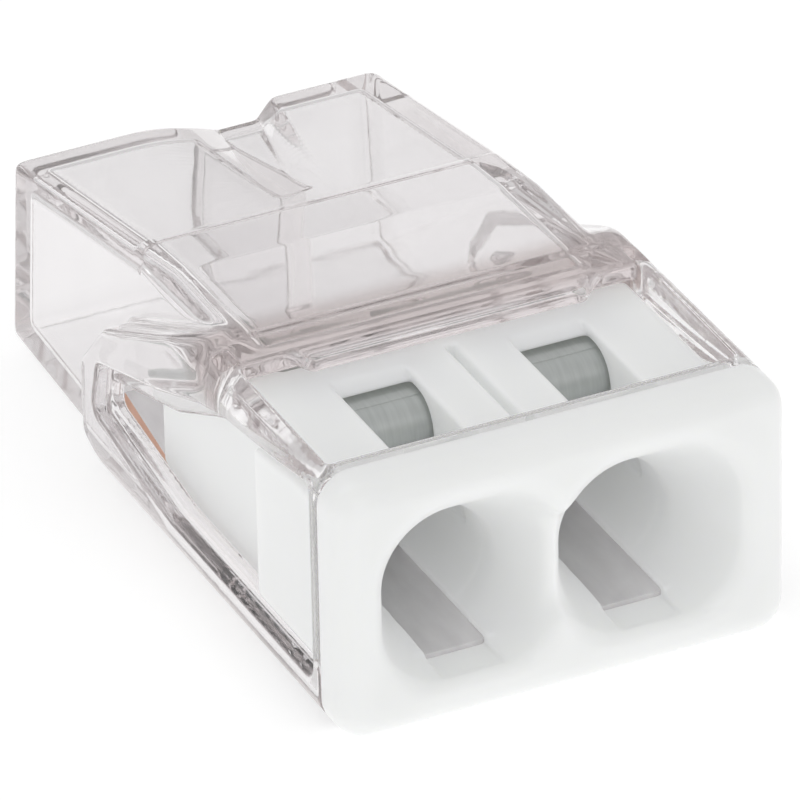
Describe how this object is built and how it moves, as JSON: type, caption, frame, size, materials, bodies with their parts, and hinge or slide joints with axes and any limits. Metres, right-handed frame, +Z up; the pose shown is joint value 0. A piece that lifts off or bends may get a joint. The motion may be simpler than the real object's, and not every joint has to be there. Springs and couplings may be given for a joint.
{
  "type": "push-in wire connector",
  "caption": "Compact push-in wire connector: a clear housing round a white wire-entry insert, with a tinned current bar and sprung clamp tongues inside.",
  "frame": {"origin": "middle of the bounding box's underside, on the surface that the connector lies on", "axes": "+X to the right seen from the wire face, +Y from the wire face to the rear end, +Z up through the top window"},
  "size_m": [0.01, 0.0176, 0.0059],
  "materials": {
    "clear_plastic": "transparent polycarbonate, faintly smoky, polished",
    "white_plastic": "white polyamide, smooth and softly glossy",
    "tinned_copper": null,
    "spring_steel": "bright rolled stainless spring strip"
  },
  "bodies": {
    "connector": {"clear_housing": "clear_plastic", "wire_entry_insert": "white_plastic", "current_bar": "tinned_copper", "left_spring_leg": "spring_steel", "right_spring_leg": "spring_steel"},
    "left_tongue": {"left_clamp_tongue": "spring_steel"},
    "right_tongue": {"right_clamp_tongue": "spring_steel"}
  },
  "joints": [
    {"name": "left_clamp_hinge", "type": "hinge", "parent": "connector", "child": "left_tongue", "pos_m": [-0.00198, -0.00445, 0.00437], "axis": [1, 0, 0], "range_deg": [0, 24], "stiffness_Nm_per_rad": 0.1},
    {"name": "right_clamp_hinge", "type": "hinge", "parent": "connector", "child": "right_tongue", "pos_m": [0.00198, -0.00445, 0.00437], "axis": [1, 0, 0], "range_deg": [0, 24], "stiffness_Nm_per_rad": 0.1}
  ]
}
